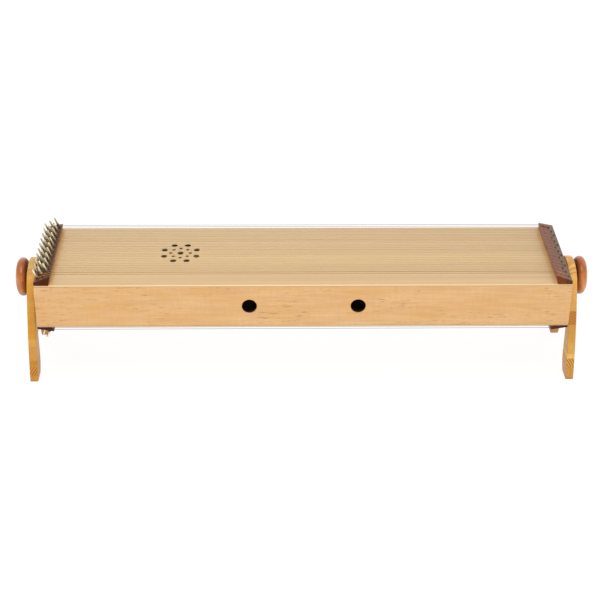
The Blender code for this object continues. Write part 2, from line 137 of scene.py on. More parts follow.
# The camera, solved from the photograph
CAMERA_PLACE = (-0.0813, -3.0101, 1.8884)
CAMERA_PITCH = math.radians(30.09)
CAMERA_YAW = math.radians(1.45)
CAMERA_ROLL = math.radians(0.533)
CAMERA_LENS = 89.07

ENDS = {"left": -1, "right": 1}
FACES = {"top": 1, "bottom": -1}


def srgb(red, green, blue):
    """A colour given in the usual 0 to 255 steps, as linear light."""
    values = []
    for value in (red, green, blue):
        share = value / 255
        values.append(share / 12.92 if share <= 0.04045 else ((share + 0.055) / 1.055) ** 2.4)
    return (*values, 1.0)


def add_node(tree, kind, values=None, **settings):
    """A node with its settings, and its inputs set or linked."""
    node = tree.nodes.new(kind)
    for name, value in settings.items():
        setattr(node, name, value)
    for key, value in (values or {}).items():
        if isinstance(value, bpy.types.NodeSocket):
            tree.links.new(value, node.inputs[key])
        else:
            node.inputs[key].default_value = value
    return node


def new_material(name, colour, roughness, metallic=0.0):
    material = bpy.data.materials.new(name)
    material.use_nodes = True
    material.diffuse_color = colour
    shader = material.node_tree.nodes["Principled BSDF"]
    shader.inputs["Base Color"].default_value = colour
    shader.inputs["Roughness"].default_value = roughness
    shader.inputs["Metallic"].default_value = metallic
    return material, material.node_tree, shader


def grain_coordinates(tree, scale, place=(0, 0, 0), turn=(0, 0, 0)):
    where = add_node(tree, "ShaderNodeTexCoord").outputs["Object"]
    mapping = add_node(tree, "ShaderNodeMapping", {"Vector": where, "Location": place, "Rotation": turn, "Scale": scale})
    return mapping.outputs["Vector"]


def noise(tree, vector, detail=3.0, distortion=0.0, roughness=0.5):
    values = {"Vector": vector, "Scale": 1.0, "Detail": detail, "Distortion": distortion, "Roughness": roughness}
    return add_node(tree, "ShaderNodeTexNoise", values).outputs["Fac"]


def calculate(tree, operation, first, second=0.0):
    return add_node(tree, "ShaderNodeMath", {0: first, 1: second}, operation=operation).outputs[0]


def mix(tree, factor, first, second, blend="MIX"):
    node = add_node(tree, "ShaderNodeMix", data_type="RGBA", blend_type=blend)
    for socket, value in ((node.inputs[0], factor), (node.inputs[6], first), (node.inputs[7], second)):
        if isinstance(value, bpy.types.NodeSocket):
            tree.links.new(value, socket)
        else:
            socket.default_value = value
    return node.outputs[2]


def spread(tree, value, low, high, new_low, new_high):
    values = {"Value": value, 1: low, 2: high, 3: new_low, 4: new_high}
    return add_node(tree, "ShaderNodeMapRange", values).outputs["Result"]


def bump(tree, shader, height, strength, distance):
    node = add_node(tree, "ShaderNodeBump", {"Height": height, "Strength": strength, "Distance": distance})
    tree.links.new(node.outputs["Normal"], shader.inputs["Normal"])


def choose(tree, flag, first, second):
    """The first value where the flag is 0 and the second where it is 1."""
    return add_node(tree, "ShaderNodeMix", {0: flag, 2: first, 3: second}, data_type="FLOAT").outputs[0]


def is_number(tree, value, number):
    return add_node(tree, "ShaderNodeMath", {0: value, 1: number, 2: 0.5}, operation="COMPARE").outputs[0]


def folded_place(tree):
    """Object coordinates from the box's middle, without their signs, so that both halves count alike."""
    where = add_node(tree, "ShaderNodeTexCoord").outputs["Object"]
    values = {0: where, 1: (0.0, 0.0, AXIS_HEIGHT)}
    centred = add_node(tree, "ShaderNodeVectorMath", values, operation="SUBTRACT").outputs[0]
    return add_node(tree, "ShaderNodeVectorMath", {0: centred}, operation="ABSOLUTE").outputs[0]


def distance_across(tree, place, target, axis):
    """How far a place is from a target, not counting one axis."""
    flat = [1.0, 1.0, 1.0]
    flat["XYZ".index(axis)] = 0.0
    ends = [add_node(tree, "ShaderNodeVectorMath", {0: end, 1: flat}, operation="MULTIPLY").outputs[0]
            for end in (place, target)]
    return add_node(tree, "ShaderNodeVectorMath", {0: ends[0], 1: ends[1]}, operation="DISTANCE").outputs["Value"]


def paint_bore_shade(tree, colour, bore_shade, middle, reach, axis, face, band):
    """Paint shade on the walls of the holes within reach of a middle, in a band of depths under the outer face, so
    that the holes look into the dark inside of the box.
    """
    place = folded_place(tree)
    near = spread(tree, distance_across(tree, place, middle, axis), reach, reach + 0.0004, 0.95, 0.0)
    height = add_node(tree, "ShaderNodeSeparateXYZ", {"Vector": place}).outputs[axis]
    depth = calculate(tree, "SUBTRACT", face, height)
    start, stop = band
    share = calculate(tree, "MULTIPLY", near, spread(tree, depth, start, start + 0.0010, 0.0, 1.0))
    share = calculate(tree, "MULTIPLY", share, spread(tree, depth, stop, stop + 0.0010, 1.0, 0.6))
    return mix(tree, share, colour, bore_shade)


def make_wood(name, pale, deep, layers, along=0, clouds=(), flecks=None, roughness=0.42, specular=0.4,
              gloss_tint=(1.0, 1.0, 1.0, 1.0), coat=0.0, relief=0.00005, wander=0.0, bored=None, wear_and_highlight=None,
              inside=None, tone_ramps=()):
    """Grain that follows one axis.

    A layer of lines is (width, length, strength), a cloud (colour, width, length, strength) and flecks
    (colour, width, length, rarity, strength), all in metres. wander bends the lines, bored holds the settings
    of the painted shade in the holes, the pair for the box's long rounded edges is their colour, paler sanded
    wood with a painted highlight, and how far it reaches, and inside is the colour of the painted shade on the
    faces that look into the box and how deep they lie. A tone ramp (colour, axis, start, stop, strength) comes in
    from one place on an axis to another.
    """
    material, tree, shader = new_material(name, pale, roughness)

    def stretched(width, length, shift, offset=0.0):
        scale = [1.0 / width] * 3
        scale[along] = 1.0 / length
        return grain_coordinates(tree, scale, (1.7 * shift + offset, 0.9 * shift, 0.4 * shift))

    colour = pale
    shift = 0
    for cloud_colour, width, length, strength in clouds:
        shift += 1
        cloud = noise(tree, stretched(width, length, shift), detail=2.0)
        colour = mix(tree, spread(tree, cloud, 0.36, 0.64, 0.0, strength), colour, cloud_colour)
    heights = None
    for width, length, strength in layers:
        shift += 1
        lines = noise(tree, stretched(width, length, shift), detail=2.0, distortion=wander)
        heights = heights or lines
        colour = mix(tree, spread(tree, lines, 0.40, 0.66, 0.0, strength), colour, deep)
    place = add_node(tree, "ShaderNodeSeparateXYZ", {"Vector": grain_coordinates(tree, (1, 1, 1))}).outputs
    # Tone ramps darken from one place on an axis to another; where one stands for shade or a reflection, it says so
    # where it is given.
    for darker_tone, axis, start, stop, strength in tone_ramps:
        colour = mix(tree, spread(tree, place[axis], start, stop, 0.0, strength), colour, darker_tone)
    # The box's long rounded edges: a paler sanded edge with a painted highlight.
    if wear_and_highlight:
        edge_colour, reach = wear_and_highlight
        away = distance_across(tree, folded_place(tree), (0.0, HALF_DEPTH, HALF_HEIGHT), "X")
        colour = mix(tree, spread(tree, away, 0.5 * reach, reach, 0.8, 0.0), colour, edge_colour)
    # Painted shade on the faces that look into the box.
    if inside:
        painted_inner_shade, depth = inside
        height = add_node(tree, "ShaderNodeSeparateXYZ", {"Vector": folded_place(tree)}).outputs["Z"]
        under = calculate(tree, "LESS_THAN", height, HALF_HEIGHT - depth)
        colour = mix(tree, under, colour, painted_inner_shade)
    # Painted shade on the walls of the holes.
    if bored:
        colour = paint_bore_shade(tree, colour, **bored)
    if flecks:
        fleck_colour, width, length, rarity, strength = flecks
        dashes = noise(tree, stretched(width, length, 11), detail=1.0)
        patches = noise(tree, stretched(30 * width, 8 * length, 12, 4.6), detail=1.0)
        share = calculate(tree, "MULTIPLY", spread(tree, dashes, rarity, rarity + 0.06, 0.0, strength),
                          spread(tree, patches, 0.47, 0.57, 0.0, 1.0))
        colour = mix(tree, share, colour, fleck_colour)
    tree.links.new(colour, shader.inputs["Base Color"])
    tree.links.new(spread(tree, heights, 0.3, 0.7, roughness - 0.05, roughness + 0.08), shader.inputs["Roughness"])
    shader.inputs["Specular IOR Level"].default_value = specular
    shader.inputs["Specular Tint"].default_value = gloss_tint
    shader.inputs["Coat Weight"].default_value = coat
    shader.inputs["Coat Roughness"].default_value = 0.14
    bump(tree, shader, heights, 0.35, relief)
    return material


def strip_ramp(tree, height, strips):
    """Values that change in steps with the height. A strip is (lower edge, three values)."""
    ramp = add_node(tree, "ShaderNodeValToRGB", {"Fac": calculate(tree, "DIVIDE", height, LEG_TOP)})
    ramp.color_ramp.interpolation = "CONSTANT"
    elements = ramp.color_ramp.elements
    elements.remove(elements[1])
    for low, values in strips:
        element = elements.new(low / LEG_TOP) if low else elements[0]
        element.color = (*values[:3], 1.0)
    return ramp.outputs["Color"]


def make_glued_strips(name, strips, ring_tone, middle):
    """Strips that lie along Y, glued one on the other, each with growth rings about its own pith.

    A strip is (lower edge, colour, strength of its rings, the pith's X and height), with X counted from the
    board's middle.
    """
    material, tree, shader = new_material(name, strips[0][1], 0.44)
    parts = add_node(tree, "ShaderNodeSeparateXYZ", {"Vector": grain_coordinates(tree, (1, 1, 1))}).outputs
    base = strip_ramp(tree, parts["Z"], [(low, colour) for low, colour, *_ in strips])
    ring_looks = []
    for low, _, strength, pith_x, pith_z in strips:
        ring_looks.append((low, (strength, 0.5 + pith_x / PITH_SPAN, 0.5 + pith_z / PITH_SPAN)))
    looks = [
        add_node(tree, "ShaderNodeSeparateColor", {"Color": strip_ramp(tree, height, ring_looks)}).outputs
        for height in (parts["Z"], calculate(tree, "ADD", parts["Z"], GLUE_LINE))
    ]
    half_span = PITH_SPAN / 2
    pith_x = spread(tree, looks[0]["Green"], 0.0, 1.0, middle - half_span, middle + half_span)
    pith_z = spread(tree, looks[0]["Blue"], 0.0, 1.0, -half_span, half_span)
    ring_x = calculate(tree, "SUBTRACT", parts["X"], pith_x)
    ring_z = calculate(tree, "SUBTRACT", parts["Z"], pith_z)
    along = calculate(tree, "MULTIPLY", parts["Y"], 0.12)
    section = add_node(tree, "ShaderNodeCombineXYZ", {"X": ring_x, "Y": along, "Z": ring_z}).outputs["Vector"]
    ring_values = {"Vector": section, "Scale": 58.0, "Distortion": 0.8, "Detail": 1.0, "Detail Scale": 0.3}
    rings = add_node(tree, "ShaderNodeTexWave", ring_values, wave_type="RINGS", rings_direction="Y").outputs["Fac"]

    lines = noise(tree, grain_coordinates(tree, (520, 12, 520)), detail=3.0)
    clouds = noise(tree, grain_coordinates(tree, (60, 9, 60), (2.0, 1.0, 0.5)), detail=2.0)
    deepening = (0.82, 0.69, 0.55, 1.0)
    colour = mix(tree, spread(tree, clouds, 0.35, 0.65, 0.0, 0.45), base, deepening, "MULTIPLY")
    colour = mix(tree, spread(tree, lines, 0.40, 0.66, 0.0, 0.40), colour, deepening, "MULTIPLY")
    ring_share = calculate(tree, "MULTIPLY", spread(tree, rings, 0.3, 0.7, 0.0, 1.0), looks[0]["Red"])
    colour = mix(tree, ring_share, colour, ring_tone)
    step = calculate(tree, "ABSOLUTE", calculate(tree, "SUBTRACT", looks[0]["Green"], looks[1]["Green"]))
    colour = mix(tree, spread(tree, step, 0.0, 0.01, 0.0, 0.4), colour, ring_tone)
    # Painted shade on the inner face, which looks towards the box.
    inner = abs(middle) - LEG_THICKNESS / 2
    inner_shade_share = spread(tree, calculate(tree, "ABSOLUTE", parts["X"]), inner, inner + 0.0016, 0.35, 0.0)
    colour = mix(tree, inner_shade_share, colour, srgb(150, 112, 50))
    # Darker towards the bottom of the feet.
    colour = mix(tree, spread(tree, parts["Z"], 0.001, 0.006, 0.55, 0.0), colour, srgb(120, 100, 66))
    # Painted shade towards the rear foot.
    colour = mix(tree, spread(tree, parts["Y"], 0.055, 0.080, 0.0, 0.5), colour, srgb(150, 92, 36))
    tree.links.new(colour, shader.inputs["Base Color"])
    tree.links.new(spread(tree, lines, 0.3, 0.7, 0.38, 0.52), shader.inputs["Roughness"])
    shader.inputs["Specular IOR Level"].default_value = 0.4
    bump(tree, shader, lines, 0.3, 0.00005)
    return material


def make_metal(name, colour, roughness, along=0, brushed=0.0004, patch_length=0.016, dullness=0.22,
               wound_share=1.0):
    """Drawn or turned metal: fine lines along one axis and slow patches of dullness.

    wound_share is how much of its brightness a wire keeps beyond the ridges, over the wedges.
    """
    material, tree, shader = new_material(name, colour, roughness, 1.0)
    fine = [1.0 / brushed] * 3
    fine[along] = 60.0
    lines = noise(tree, grain_coordinates(tree, fine), detail=2.0)
    slow = [160.0] * 3
    slow[along] = 1.0 / patch_length
    patches = noise(tree, grain_coordinates(tree, slow), detail=2.0)
    dull = tuple((1.0 - dullness) * value for value in colour[:3]) + (1.0,)
    tarnished = mix(tree, spread(tree, patches, 0.40, 0.66, 0.0, 1.0), colour, dull)
    out = add_node(tree, "ShaderNodeSeparateXYZ", {"Vector": folded_place(tree)}).outputs["X"]
    wound = spread(tree, out, RIDGE_DISTANCE, RIDGE_DISTANCE + 0.003, 1.0, wound_share)
    tarnished = mix(tree, 1.0, tarnished, wound, "MULTIPLY")
    # Painted shade: a piece's painted-shade attribute darkens its colour, on the tuning pins' outer sides and shanks.
    grime = add_node(tree, "ShaderNodeAttribute", attribute_name="grime").outputs["Fac"]
    tree.links.new(mix(tree, grime, tarnished, (0.070, 0.046, 0.018, 1.0)), shader.inputs["Base Color"])
    tree.links.new(spread(tree, lines, 0.3, 0.7, roughness - 0.06, roughness + 0.12), shader.inputs["Roughness"])
    bump(tree, shader, lines, 0.15, 0.00002)
    return material


SPRUCE_LOOK = {
    "pale": srgb(226, 192, 138), "deep": srgb(194, 151, 96), "layers": [(0.0022, 0.9, 0.22), (0.0090, 2.4, 0.30)],
    "clouds": [(srgb(214, 180, 132), 0.045, 2.5, 0.9)], "flecks": (srgb(150, 104, 62), 0.0010, 0.004, 0.68, 0.3),
    # Paler sanded rounded edges, with a painted highlight along them.
    "roughness": 0.34, "specular": 0.5, "wear_and_highlight": (srgb(246, 212, 160), 0.0030),
    # Painted shade on the faces that look into the box.
    "inside": (srgb(140, 96, 58), BOARD_THICKNESS - 0.0001),
    # Painted shade towards the rear edge, and next to each ridge a painted warm shadow and reflection of the wedge on
    # the board.
    "tone_ramps": [
        (srgb(200, 166, 118), "Y", 0.05, 0.12, 0.6), (srgb(224, 156, 82), "X", -0.555, -0.561, 0.55),
        (srgb(224, 156, 82), "X", 0.555, 0.561, 0.35),
    ],
}
# Painted shade in the rosette's holes and the side holes, towards the dark inside of the box.
ROSETTE_BORES = {
    "bore_shade": srgb(12, 6, 2), "middle": (*(abs(value) for value in ROSETTE_PLACE), 0.0), "reach": 0.050,
    "axis": "Z", "face": HALF_HEIGHT, "band": (0.0015, 0.0064),
}
SIDE_BORES = {
    "bore_shade": srgb(16, 5, 2), "middle": (SIDE_HOLE_DISTANCE / 2, 0.0, 0.0), "reach": SIDE_HOLE_RADIUS + 0.0008,
    "axis": "Y", "face": HALF_DEPTH, "band": (0.0003, 0.0200),
}
SPRUCE = make_wood("spruce", **SPRUCE_LOOK)
PIERCED_SPRUCE = make_wood("pierced spruce", bored=ROSETTE_BORES, **SPRUCE_LOOK)
SIDE_WOOD = make_wood(
    "side wood", srgb(241, 197, 137), srgb(208, 152, 92), [(0.0011, 0.05, 0.22), (0.0050, 0.09, 0.30)],
    clouds=[(srgb(233, 180, 110), 0.030, 0.11, 0.8), (srgb(236, 186, 138), 0.018, 0.06, 0.5),
            (srgb(224, 172, 112), 0.030, 0.007, 0.25)],
    flecks=(srgb(172, 96, 42), 0.0015, 0.022, 0.666, 0.75), roughness=0.40, wander=0.5, bored=SIDE_BORES)
INNER_WOOD = make_wood(
    "inner wood", srgb(206, 168, 118), srgb(172, 128, 80), [(0.0018, 0.25, 0.5)], roughness=0.7, specular=0.3)
END_GRAIN = make_wood(
    "end block wood", srgb(200, 154, 98), srgb(160, 112, 64), [(0.0028, 0.08, 0.6)], along=1, roughness=0.6,
    specular=0.3)



def make_dark_hardwood(name, pale, deep, specular=0.42, tone_ramps=()):
    return make_wood(
        name, pale, deep, [(0.0009, 0.045, 0.30), (0.005, 0.16, 0.35)], along=1,
        clouds=[(tuple(1.25 * value for value in pale[:3]) + (1.0,), 0.012, 0.10, 0.7)],
        flecks=(srgb(34, 15, 8), 0.0004, 0.006, 0.62, 0.3), roughness=0.20, specular=specular,
        gloss_tint=(1.0, 0.57, 0.24, 1.0), tone_ramps=tone_ramps)


WEDGE_WOODS = {
    ("left", "top"): make_dark_hardwood("dark hardwood", srgb(80, 36, 17), srgb(45, 19, 8)),
    ("right", "top"): make_dark_hardwood(
        "red hardwood", srgb(127, 64, 36), srgb(92, 41, 22),
        # Darker towards the outer end of the slope, among the hitch pins.
        tone_ramps=[(srgb(60, 46, 30), "X", HALF_LENGTH - 0.019, HALF_LENGTH - 0.012, 0.6)]),
    # The bottom wedges: darker copies of the top woods with painted shade, for the shaded undersides.
    ("left", "bottom"): make_dark_hardwood("darkest hardwood", srgb(72, 26, 12), srgb(44, 16, 8), 0.015),
    ("right", "bottom"): make_dark_hardwood("dark red hardwood", srgb(92, 38, 20), srgb(56, 22, 12), 0.015),
}
LEFT_STRIPS = [
    (0.0, srgb(224, 158, 46), 0.20, 0.010, -0.030), (0.0140, srgb(225, 155, 44), 0.62, 0.040, 0.001),
    (0.0352, srgb(214, 150, 42), 0.12, -0.050, 0.010), (0.0504, srgb(227, 165, 70), 0.10, 0.060, 0.090),
    (0.0829, srgb(238, 179, 79), 0.08, -0.030, 0.060), (0.1028, srgb(238, 171, 50), 0.15, 0.050, 0.150),
    (0.1426, srgb(236, 171, 60), 0.08, -0.060, 0.120), (0.1610, srgb(240, 180, 71), 0.15, 0.030, 0.230),
    (0.2385, srgb(224, 180, 98), 0.15, 0.0, 0.192),
]
RIGHT_STRIPS = [
    (0.0, srgb(223, 165, 71), 0.30, 0.002, 0.018), (0.0290, srgb(240, 179, 80), 0.72, -0.042, 0.016),
    (0.0512, srgb(255, 203, 106), 0.08, 0.050, 0.020), (0.0624, srgb(240, 186, 87), 0.12, -0.030, 0.120),
    (0.0913, srgb(240, 181, 79), 0.12, 0.060, 0.060), (0.1294, srgb(223, 154, 63), 0.30, -0.020, 0.100),
    (0.1593, srgb(251, 197, 109), 0.06, 0.040, 0.230), (0.2332, srgb(240, 187, 99), 0.36, 0.008, 0.192),
]
LEG_WOODS = {
    "left": make_glued_strips("left leg wood", LEFT_STRIPS, srgb(140, 72, 16), -0.62045),
    "right": make_glued_strips("right leg wood", RIGHT_STRIPS, srgb(140, 72, 16), 0.62045),
}


def paint_shade_on_inner_side(material, start, reach, darker_tone):
    """Paint shade on the side of the knobs that faces the leg, where the narrow gap to the leg shades it."""
    tree = material.node_tree
    base = tree.nodes["Principled BSDF"].inputs["Base Color"]
    out = add_node(tree, "ShaderNodeSeparateXYZ", {"Vector": folded_place(tree)}).outputs["X"]
    share = spread(tree, out, start, start + reach, 0.85, 0.0)
    tree.links.new(mix(tree, share, base.links[0].from_socket, darker_tone), base)


KNOB_WOOD = make_wood(
    "knob wood", srgb(238, 164, 98), srgb(176, 92, 42), [(0.0022, 0.05, 0.30), (0.008, 0.12, 0.35)], along=2,
    clouds=[(srgb(202, 108, 54), 0.012, 0.05, 0.9), (srgb(230, 166, 94), 0.016, 0.04, 0.6)], roughness=0.28,
    specular=0.4, gloss_tint=(1.0, 0.8, 0.6, 1.0), coat=0.28,
    # Painted shade, darker towards the top and towards the bottom of the rim.
    tone_ramps=[(srgb(160, 64, 18), "Z", AXIS_HEIGHT + 0.011, AXIS_HEIGHT + 0.034, 0.62),
            (srgb(118, 62, 10), "Z", AXIS_HEIGHT - 0.010, AXIS_HEIGHT - 0.036, 0.70)])
# Painted shade on the side of the knobs that faces the leg.
paint_shade_on_inner_side(KNOB_WOOD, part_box("right_knob")[0].x + 0.002, 0.012, srgb(88, 24, 4))
SPACER_WOOD = make_wood(
    "spacer wood", srgb(150, 86, 48), srgb(104, 52, 28), [(0.0015, 0.05, 0.6)], along=2, roughness=0.45)
NICKEL = make_metal("nickel plate", (1.0, 0.90, 0.62, 1.0), 0.20, along=2)
DARK_STEEL = make_metal("dark steel", (0.20, 0.17, 0.14, 1.0), 0.34, along=2)
STEEL_WIRE = make_metal("steel wire", (0.42, 0.33, 0.19, 1.0), 0.32, along=0, patch_length=0.6, wound_share=0.65)
BASS_WIRE = make_metal("dull wound wire", (0.20, 0.12, 0.06, 1.0), 0.40, along=0, patch_length=0.6)
BRONZE_WIRE = make_metal(
    "bronze wound wire", (0.30, 0.17, 0.05, 1.0), 0.34, along=0, patch_length=0.6, wound_share=3.0)
BRASS = make_metal("brass", (0.74, 0.52, 0.20, 1.0), 0.32, along=0)


def bridge(bm, rings, closed=False):
    """Skin a row of rings of equal counts, and cap the two ends unless the row is closed."""
    count = len(rings[0])
    pairs = list(zip(rings, rings[1:]))
    if closed:
        pairs.append((rings[-1], rings[0]))
    for low, high in pairs:
        for i in range(count):
            j = (i + 1) % count
            bm.faces.new((low[i], low[j], high[j], high[i]))
    if not closed:
        bm.faces.new(rings[0])
        bm.faces.new(reversed(rings[-1]))


def prism_along_x(outline, start, end):
    bm = bmesh.new()
    bridge(bm, [[bm.verts.new((x, y, z)) for y, z in outline] for x in (start, end)])
    return bm


def add_rod(bm, start, end, radius, sides):
    start = Vector(start)
    end = Vector(end)
    along = (end - start).normalized()
    across = along.cross((0, 1, 0)) if abs(along.y) < 0.9 else along.cross((1, 0, 0))
    across.normalize()
    other = along.cross(across)
    rings = []
    for centre in (start, end):
        ring = []
        for i in range(sides):
            angle = math.tau * i / sides
            ring.append(bm.verts.new(centre + radius * (math.cos(angle) * across + math.sin(angle) * other)))
        rings.append(ring)
    bridge(bm, rings)


def turned_about_axis(profile, sides, closed=False):
    """Spin a profile of (x, radius) points about the turning axis."""
    bm = bmesh.new()
    rings = []
    for x, radius in profile:
        ring = []
        for i in range(sides):
            angle = math.tau * i / sides
            ring.append(bm.verts.new((x, radius * math.cos(angle), AXIS_HEIGHT + radius * math.sin(angle))))
        rings.append(ring)
    bridge(bm, rings, closed)
    return bm


def link_mesh(name, bm):
    bmesh.ops.recalc_face_normals(bm, faces=bm.faces)
    mesh = bpy.data.meshes.new(name)
    bm.to_mesh(mesh)
    bm.free()
    item = bpy.data.objects.new(name, mesh)
    bpy.context.scene.collection.objects.link(item)
    return item


def freeze(item):
    """Replace an object's modifiers by their result."""
    depsgraph = bpy.context.evaluated_depsgraph_get()
    mesh = bpy.data.meshes.new_from_object(item.evaluated_get(depsgraph))
    mesh.name = item.name
    item.modifiers.clear()
    item.data = mesh


def dress(item, material, body, replaced=()):
    """Give a finished piece its material and its body, and hide the nodes that it stands for."""
    item.data.materials.clear()
    item.data.materials.append(material)
    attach(item, body)
    if replaced:
        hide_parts(*replaced)


def finish_solid(name, bm, material, body, replaced=(), easing=EASING, steps=2, cutter=None, angle=35):
    """Cut a solid, ease its sharp edges and dress it."""
    item = link_mesh(name, bm)
    tool = None
    if cutter:
        tool = link_mesh(name + " cutter", cutter)
        modifier = item.modifiers.new("cut", "BOOLEAN")
        modifier.operation = "DIFFERENCE"
        modifier.solver = "EXACT"
        modifier.object = tool
    modifier = item.modifiers.new("easing", "BEVEL")
    modifier.width = easing
    modifier.segments = steps
    modifier.limit_method = "ANGLE"
    modifier.angle_limit = math.radians(angle)
    item.data.shade_smooth()
    modifier = item.modifiers.new("shading", "WEIGHTED_NORMAL")
    modifier.keep_sharp = True
    freeze(item)
    if tool:
        bpy.data.objects.remove(tool, do_unlink=True)
    dress(item, material, body, replaced)
    return item


def make_board(face):
    """A thin board with rounded long edges. The top one is pierced by the rosette."""
    up = FACES[face]
    inner = HALF_HEIGHT - BOARD_THICKNESS
    centre = HALF_HEIGHT - BOARD_EDGE_RADIUS
    outline = [(-HALF_DEPTH, up * inner), (HALF_DEPTH, up * inner)]
    steps = 8
    arc = []
    for i in range(steps + 1):
        angle = math.pi / 2 * i / steps
        y = HALF_DEPTH - BOARD_EDGE_RADIUS * (1 - math.cos(angle))
        arc.append((y, up * (centre + BOARD_EDGE_RADIUS * math.sin(angle))))
    outline += arc + [(-y, z) for y, z in reversed(arc)]
    outline = [(y, AXIS_HEIGHT + z) for y, z in outline]
    bm = prism_along_x(outline, -HALF_LENGTH, HALF_LENGTH)
    cutter = rosette_cutter() if face == "top" else None
    wood = PIERCED_SPRUCE if cutter else SPRUCE
    finish_solid(face + "_board", bm, wood, "soundbox", (face + "_soundboard",), 0.0002, 2, cutter, 50)


def rosette_cutter():
    bm = bmesh.new()
    centre_x, centre_y = ROSETTE_PLACE
    low = BOARD_LOW.z - BOARD_THICKNESS
    high = BOARD_HIGH.z + BOARD_THICKNESS
    holes = [(0.0, 0.0, ROSETTE_CENTRE_RADIUS)]
    for (circle, radius), turn in ((ROSETTE_INNER, 0.0), (ROSETTE_OUTER, 0.5)):
        for i in range(ROSETTE_PETALS):
            angle = math.tau * (i + turn) / ROSETTE_PETALS
            holes.append((circle * math.cos(angle), circle * math.sin(angle), radius))
    for x, y, radius in holes:
        add_rod(bm, (centre_x + x, centre_y + y, low), (centre_x + x, centre_y + y, high), radius, 40)
    return bm


def make_walls():
    for name, node, side in (("front_wall", "front_side", -1), ("rear_wall", "rear_side", 1)):
        low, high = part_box(node)
        outline = [(low.y, low.z), (high.y, low.z), (high.y, high.z), (low.y, high.z)]
        bm = prism_along_x(outline, low.x, high.x)
        cutter = None
        if side < 0:
            cutter = bmesh.new()
            for x in (-SIDE_HOLE_DISTANCE / 2, SIDE_HOLE_DISTANCE / 2):
                start = (x, low.y - WALL_THICKNESS, AXIS_HEIGHT)
                add_rod(cutter, start, (x, high.y + WALL_THICKNESS, AXIS_HEIGHT), SIDE_HOLE_RADIUS, 72)
        finish_solid(name, bm, SIDE_WOOD, "soundbox", (node,), 0.0003, 2, cutter)


def turned(face, place):
    """A place given for the top face. The bottom face is the top one after half a turn about the axis."""
    x, y, z = place
    return Vector((x, FACES[face] * y, AXIS_HEIGHT + FACES[face] * (z - AXIS_HEIGHT)))


def slope_point(end, distance, y, lift=0.0, lean=0.0):
    """A point over a top wedge's slope, at a distance in from the box's end.

    It is lifted square to the slope, or leaning further outwards by the lean.
    """
    angle = math.atan(WEDGE_RISE) + lean
    x = ENDS[end] * (HALF_LENGTH - distance + lift * math.sin(angle))
    return Vector((x, y, BOARD_HIGH.z + WEDGE_OUTER_HEIGHT + distance * WEDGE_RISE + lift * math.cos(angle)))


def make_wedge(end, face):
    side = ENDS[end]
    outer = side * HALF_LENGTH
    ridge = side * RIDGE_DISTANCE
    inner_base = side * (RIDGE_DISTANCE + WEDGE_UNDERCUT)
    base, low_edge, high_edge = (
        AXIS_HEIGHT + FACES[face] * (HALF_HEIGHT + height) for height in (GAP, WEDGE_OUTER_HEIGHT, WEDGE_RIDGE_HEIGHT)
    )
    low_setback = WEDGE_OUTER_HEIGHT * WEDGE_END_SETBACK / WEDGE_RIDGE_HEIGHT
    bm = bmesh.new()
    rings = []
    for front in (-1, 1):
        corners = (
            (outer, HALF_DEPTH, base),
            (inner_base, HALF_DEPTH, base),
            (ridge, HALF_DEPTH - WEDGE_END_SETBACK, high_edge),
            (outer, HALF_DEPTH - low_setback, low_edge),
        )
        rings.append([bm.verts.new((x, front * y, z)) for x, y, z in corners])
    bridge(bm, rings)
    kind = "pin" if end == "left" else "hitch"
    node = face + "_" + kind + "_block"
    finish_solid(face + "_" + kind + "_wedge", bm, WEDGE_WOODS[end, face], "soundbox",
                 (node,), 0.0009, 3)


def string_y(number):
    return STRING_PITCH * ((STRING_COUNT - 1) / 2 - number)


def pin_distance(number):
    return PIN_EDGE_DISTANCE + (PIN_ROWS - 1 - number % PIN_ROWS) * PIN_ROW_SPACING


def hitch_distance(wire):
    return HITCH_EDGE_DISTANCE + (PIN_ROWS - 1 - wire % PIN_ROWS) * HITCH_ROW_SPACING


def tree_inputs(tree, fields):
    """Named inputs of a node group, as {name: socket identifier}."""
    identifiers = {}
    for name, kind in fields:
        socket = tree.interface.new_socket(name, in_out="INPUT", socket_type=kind)
        identifiers[name] = socket.identifier
    return identifiers


